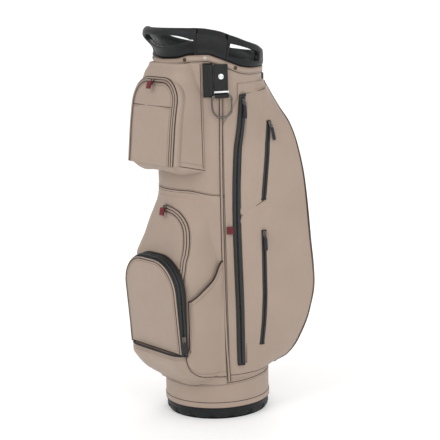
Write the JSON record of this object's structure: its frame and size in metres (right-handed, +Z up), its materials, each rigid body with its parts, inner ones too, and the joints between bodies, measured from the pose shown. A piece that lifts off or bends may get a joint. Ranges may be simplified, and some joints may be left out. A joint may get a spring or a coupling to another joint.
{
  "type": "golf cart bag",
  "caption": "Round golf cart bag on a moulded base, with a slanted handled cuff, divided club wells, zipped front and side pockets, slip pockets, a towel ring and an umbrella holder.",
  "frame": {"origin": "centre of the base's underside", "axes": "+Z up the club tube, -Y to the front (ball pocket), +X to the side with the towel ring"},
  "size_m": [0.401, 0.345, 0.922],
  "materials": {
    "tan_leather": "matt pebbled synthetic leather",
    "black_leather": "satin grained synthetic leather",
    "moulded_black": "fine texture",
    "rubber_sole": "matt",
    "lining": "brushed fabric over board",
    "zip_tape_black": "woven tape",
    "zip_tape_tan": "woven tape",
    "red_leather": "satin",
    "silver": "brushed",
    "gunmetal": "dark nickel"
  },
  "bodies": {
    "bag": {"base_sole": "rubber_sole", "base_cup": "moulded_black", "lower_trim": "tan_leather", "lower_band": "tan_leather", "lower_skin": "tan_leather", "upper_skin": "tan_leather", "collar_trim": "tan_leather", "tube_liner": "lining", "top_cuff": "moulded_black", "divider_front": "lining", "divider_middle": "lining", "divider_rear": "lining", "front_handle": "moulded_black", "side_handle_right": "moulded_black", "side_handle_left": "moulded_black", "grip_wrap_right": "black_leather", "grip_wrap_left": "black_leather", "front_skirt": "tan_leather", "front_body": "tan_leather", "ball_gusset": "zip_tape_black", "middle_zip_tape": "zip_tape_tan", "slip_pocket_right": "tan_leather", "slip_pocket_left": "tan_leather", "upper_body": "tan_leather", "upper_door": "tan_leather", "upper_zip_tape": "zip_tape_tan", "side_pocket_right": "tan_leather", "side_pocket_left": "tan_leather", "main_zip_tape_right": "zip_tape_black", "main_zip_tape_left": "zip_tape_black", "towel_block": "black_leather", "towel_tab": "black_leather", "towel_bar": "silver", "emblem_disc": "silver", "rear_spine": "tan_leather", "umbrella_cup": "moulded_black", "umbrella_loop": "black_leather"},
    "ball_door": {"ball_door": "tan_leather"},
    "ball_pull": {"ball_pull": "black_leather"},
    "ball_slider": {"ball_slider": "gunmetal"},
    "high_left_pull": {"high_left_pull": "black_leather"},
    "high_left_slider": {"high_left_slider": "gunmetal"},
    "high_right_pull": {"high_right_pull": "black_leather"},
    "high_right_slider": {"high_right_slider": "gunmetal"},
    "low_left_pull": {"low_left_pull": "black_leather"},
    "low_left_slider": {"low_left_slider": "gunmetal"},
    "low_right_pull": {"low_right_pull": "black_leather"},
    "low_right_slider": {"low_right_slider": "gunmetal"},
    "main_left_pull": {"main_left_pull": "black_leather"},
    "main_left_slider": {"main_left_slider": "gunmetal"},
    "main_right_pull": {"main_right_pull": "black_leather"},
    "main_right_slider": {"main_right_slider": "gunmetal"},
    "middle_pull": {"middle_pull": "red_leather"},
    "middle_slider": {"middle_slider": "gunmetal"},
    "ring_gate": {"ring_gate": "gunmetal"},
    "towel_ring": {"towel_ring": "gunmetal"},
    "upper_pull": {"upper_pull": "red_leather"},
    "upper_slider": {"upper_slider": "gunmetal"}
  },
  "joints": [
    {"name": "ball_door_hinge", "type": "hinge", "parent": "bag", "child": "ball_door", "pos_m": [0, -0.17874, 0.178], "axis": [1, 0, 0], "range_deg": [0, 80]},
    {"name": "ball_zip_slide", "type": "slide", "parent": "bag", "child": "ball_slider", "axis": [0, -0.04, 0.9992], "range_m": [0, 0.1]},
    {"name": "middle_zip_slide", "type": "slide", "parent": "bag", "child": "middle_slider", "axis": [0.9803, -0.0245, -0.1961], "range_m": [0, 0.04]},
    {"name": "upper_zip_slide", "type": "slide", "parent": "bag", "child": "upper_slider", "axis": [1, 0, 0], "range_m": [0, 0.02]},
    {"name": "main_right_zip_slide", "type": "slide", "parent": "bag", "child": "main_right_slider", "axis": [0.0326, -0.1368, -0.9901], "range_m": [0, 0.15]},
    {"name": "main_left_zip_slide", "type": "slide", "parent": "bag", "child": "main_left_slider", "axis": [-0.0326, -0.1368, -0.9901], "range_m": [0, 0.15]},
    {"name": "high_right_zip_slide", "type": "slide", "parent": "bag", "child": "high_right_slider", "axis": [0.2385, -0.3319, -0.9127], "range_m": [0, 0.04]},
    {"name": "high_left_zip_slide", "type": "slide", "parent": "bag", "child": "high_left_slider", "axis": [-0.2385, -0.3319, -0.9127], "range_m": [0, 0.04]},
    {"name": "low_right_zip_slide", "type": "slide", "parent": "bag", "child": "low_right_slider", "axis": [0.0286, -0.0198, -0.9994], "range_m": [0, 0.11]},
    {"name": "low_left_zip_slide", "type": "slide", "parent": "bag", "child": "low_left_slider", "axis": [-0.0286, -0.0198, -0.9994], "range_m": [0, 0.11]},
    {"name": "ball_pull_hinge", "type": "hinge", "parent": "ball_slider", "child": "ball_pull", "pos_m": [0.11127, -0.17821, 0.212], "axis": [-0.4695, -0.8829, 0], "range_deg": [0, 140]},
    {"name": "middle_pull_hinge", "type": "hinge", "parent": "middle_slider", "child": "middle_pull", "pos_m": [0, -0.14556, 0.50374], "axis": [-1, 0, 0], "range_deg": [0, 140]},
    {"name": "upper_pull_hinge", "type": "hinge", "parent": "upper_slider", "child": "upper_pull", "pos_m": [-0.004, -0.16539, 0.80037], "axis": [-1, 0, 0], "range_deg": [0, 140]},
    {"name": "main_right_pull_hinge", "type": "hinge", "parent": "main_right_slider", "child": "main_right_pull", "pos_m": [0.14043, -0.00454, 0.74811], "axis": [-0.0698, -0.9976, 0], "range_deg": [0, 140]},
    {"name": "main_left_pull_hinge", "type": "hinge", "parent": "main_left_slider", "child": "main_left_pull", "pos_m": [-0.14043, -0.00454, 0.74811], "axis": [-0.0698, 0.9976, 0], "range_deg": [0, 140]},
    {"name": "high_right_pull_hinge", "type": "hinge", "parent": "high_right_slider", "child": "high_right_pull", "pos_m": [0.15012, 0.06503, 0.69199], "axis": [-0.0349, -0.9994, 0], "range_deg": [0, 140]},
    {"name": "high_left_pull_hinge", "type": "hinge", "parent": "high_left_slider", "child": "high_left_pull", "pos_m": [-0.15012, 0.06503, 0.69199], "axis": [-0.0349, 0.9994, 0], "range_deg": [0, 140]},
    {"name": "low_right_pull_hinge", "type": "hinge", "parent": "low_right_slider", "child": "low_right_pull", "pos_m": [0.1778, 0.01598, 0.44233], "axis": [-0.2756, -0.9613, 0], "range_deg": [0, 140]},
    {"name": "low_left_pull_hinge", "type": "hinge", "parent": "low_left_slider", "child": "low_left_pull", "pos_m": [-0.1778, 0.01598, 0.44233], "axis": [-0.2756, 0.9613, 0], "range_deg": [0, 140]},
    {"name": "towel_ring_swing", "type": "hinge", "parent": "bag", "child": "towel_ring", "pos_m": [0.1228, -0.05726, 0.768], "axis": [-0.4226, -0.9063, 0], "range_deg": [0, 110]},
    {"name": "ring_gate_hinge", "type": "hinge", "parent": "towel_ring", "child": "ring_gate", "pos_m": [0.13231, -0.03687, 0.7365], "axis": [0.9063, -0.4226, 0], "range_deg": [0, 20], "stiffness_Nm_per_rad": 0.02, "springref_deg": -5.73}
  ],
  "couplings": [
    {"joint": "ball_zip_slide", "follows": "ball_door_hinge", "m_per_rad": 0.07126}
  ]
}
